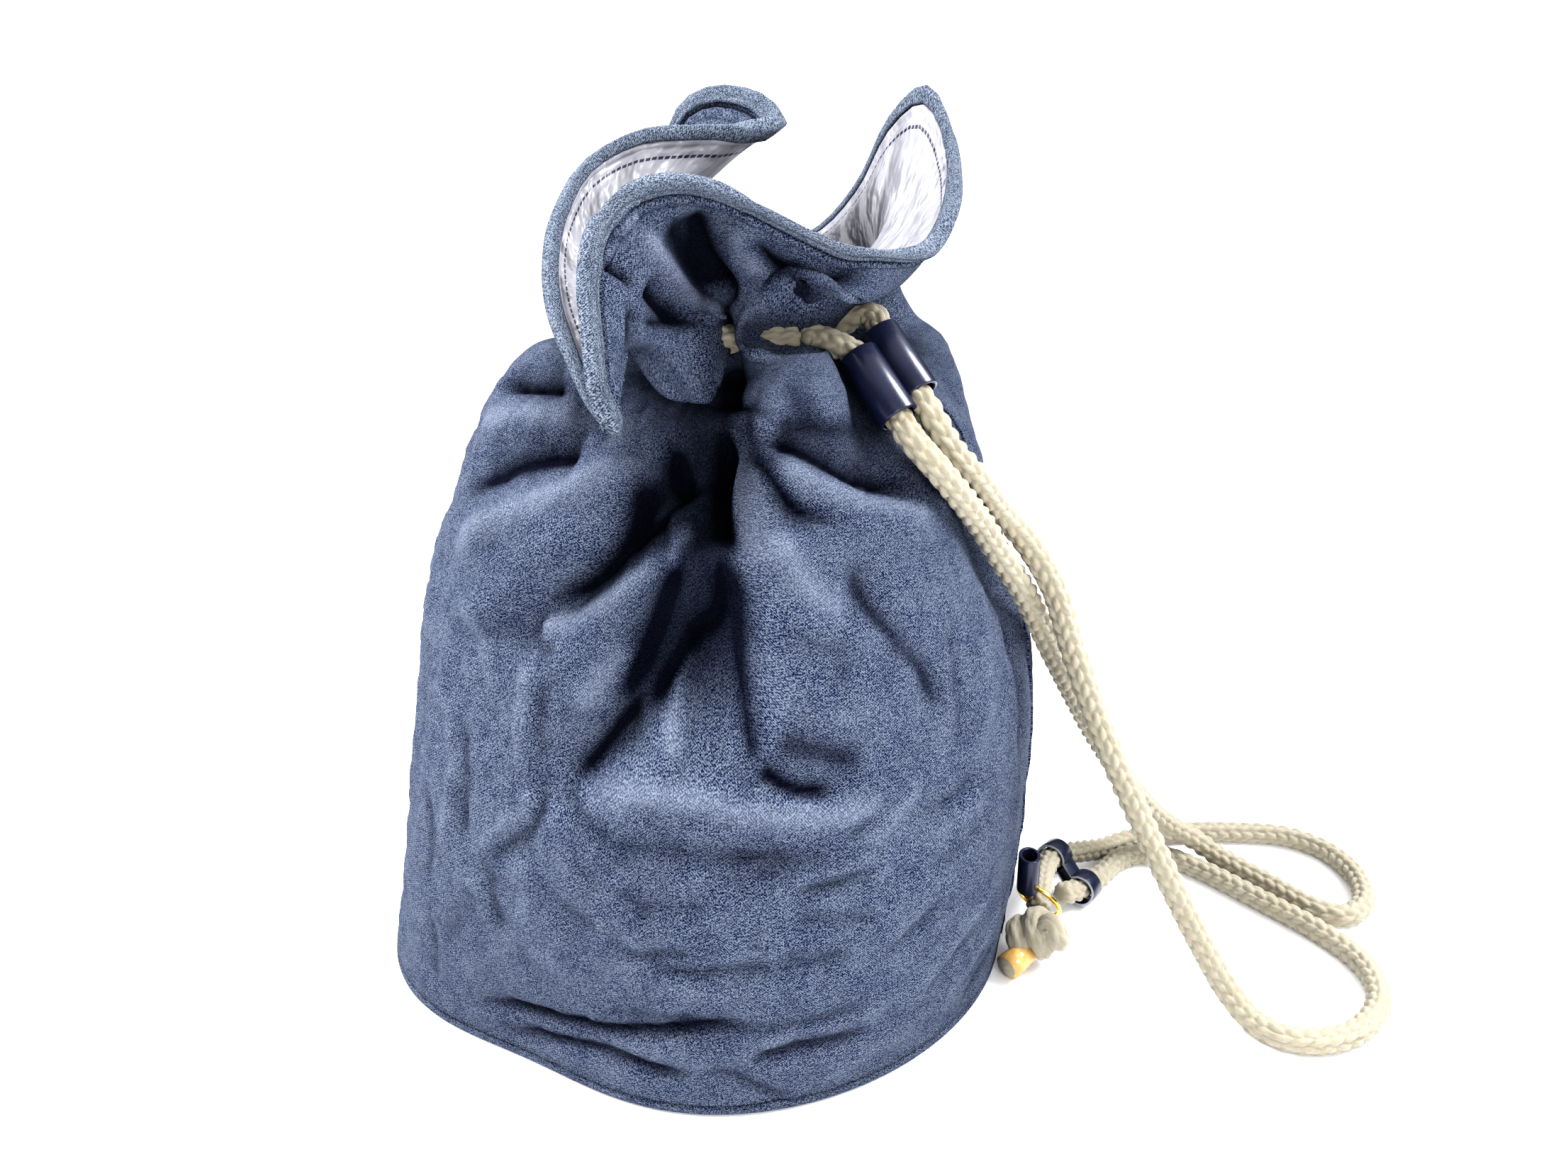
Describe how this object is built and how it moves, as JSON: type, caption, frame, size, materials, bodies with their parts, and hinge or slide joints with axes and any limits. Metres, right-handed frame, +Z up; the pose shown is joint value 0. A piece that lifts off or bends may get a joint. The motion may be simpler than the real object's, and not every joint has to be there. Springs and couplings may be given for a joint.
{
  "type": "drawstring shoulder bag",
  "caption": "Round canvas bucket bag drawn in at the neck by a cord strap, with a wide lined collar, a leather slider and keeper, and a knotted end at a ring on the side seam",
  "frame": {"origin": "the middle of the round base, on the surface that the bag stands on", "axes": "+Z up, -Y to the viewer of the front, +X to the side seam and the strap"},
  "size_m": [0.4329, 0.2595, 0.3414],
  "materials": {
    "navy_canvas": "matt cotton twill",
    "white_satin": "smooth satin",
    "grey_binding": "woven tape",
    "cream_cotton": "braided cotton",
    "navy_leather": "glossy",
    "brass": "polished",
    "amber_tape": "clear amber tape"
  },
  "bodies": {
    "root": {"canvas_body": "navy_canvas", "mouth_lining": "white_satin", "mouth_binding": "grey_binding", "mouth_strip": "navy_canvas", "side_seam": "navy_canvas", "base_disc": "navy_canvas", "base_piping": "navy_canvas", "rope_neck": "cream_cotton", "rope_far": "cream_cotton", "rope_near": "cream_cotton", "rope_knot": "cream_cotton", "rope_tip": "amber_tape", "slider": "navy_leather", "keeper": "navy_leather", "leather_tab": "navy_leather", "brass_ring": "brass"}
  },
  "joints": []
}
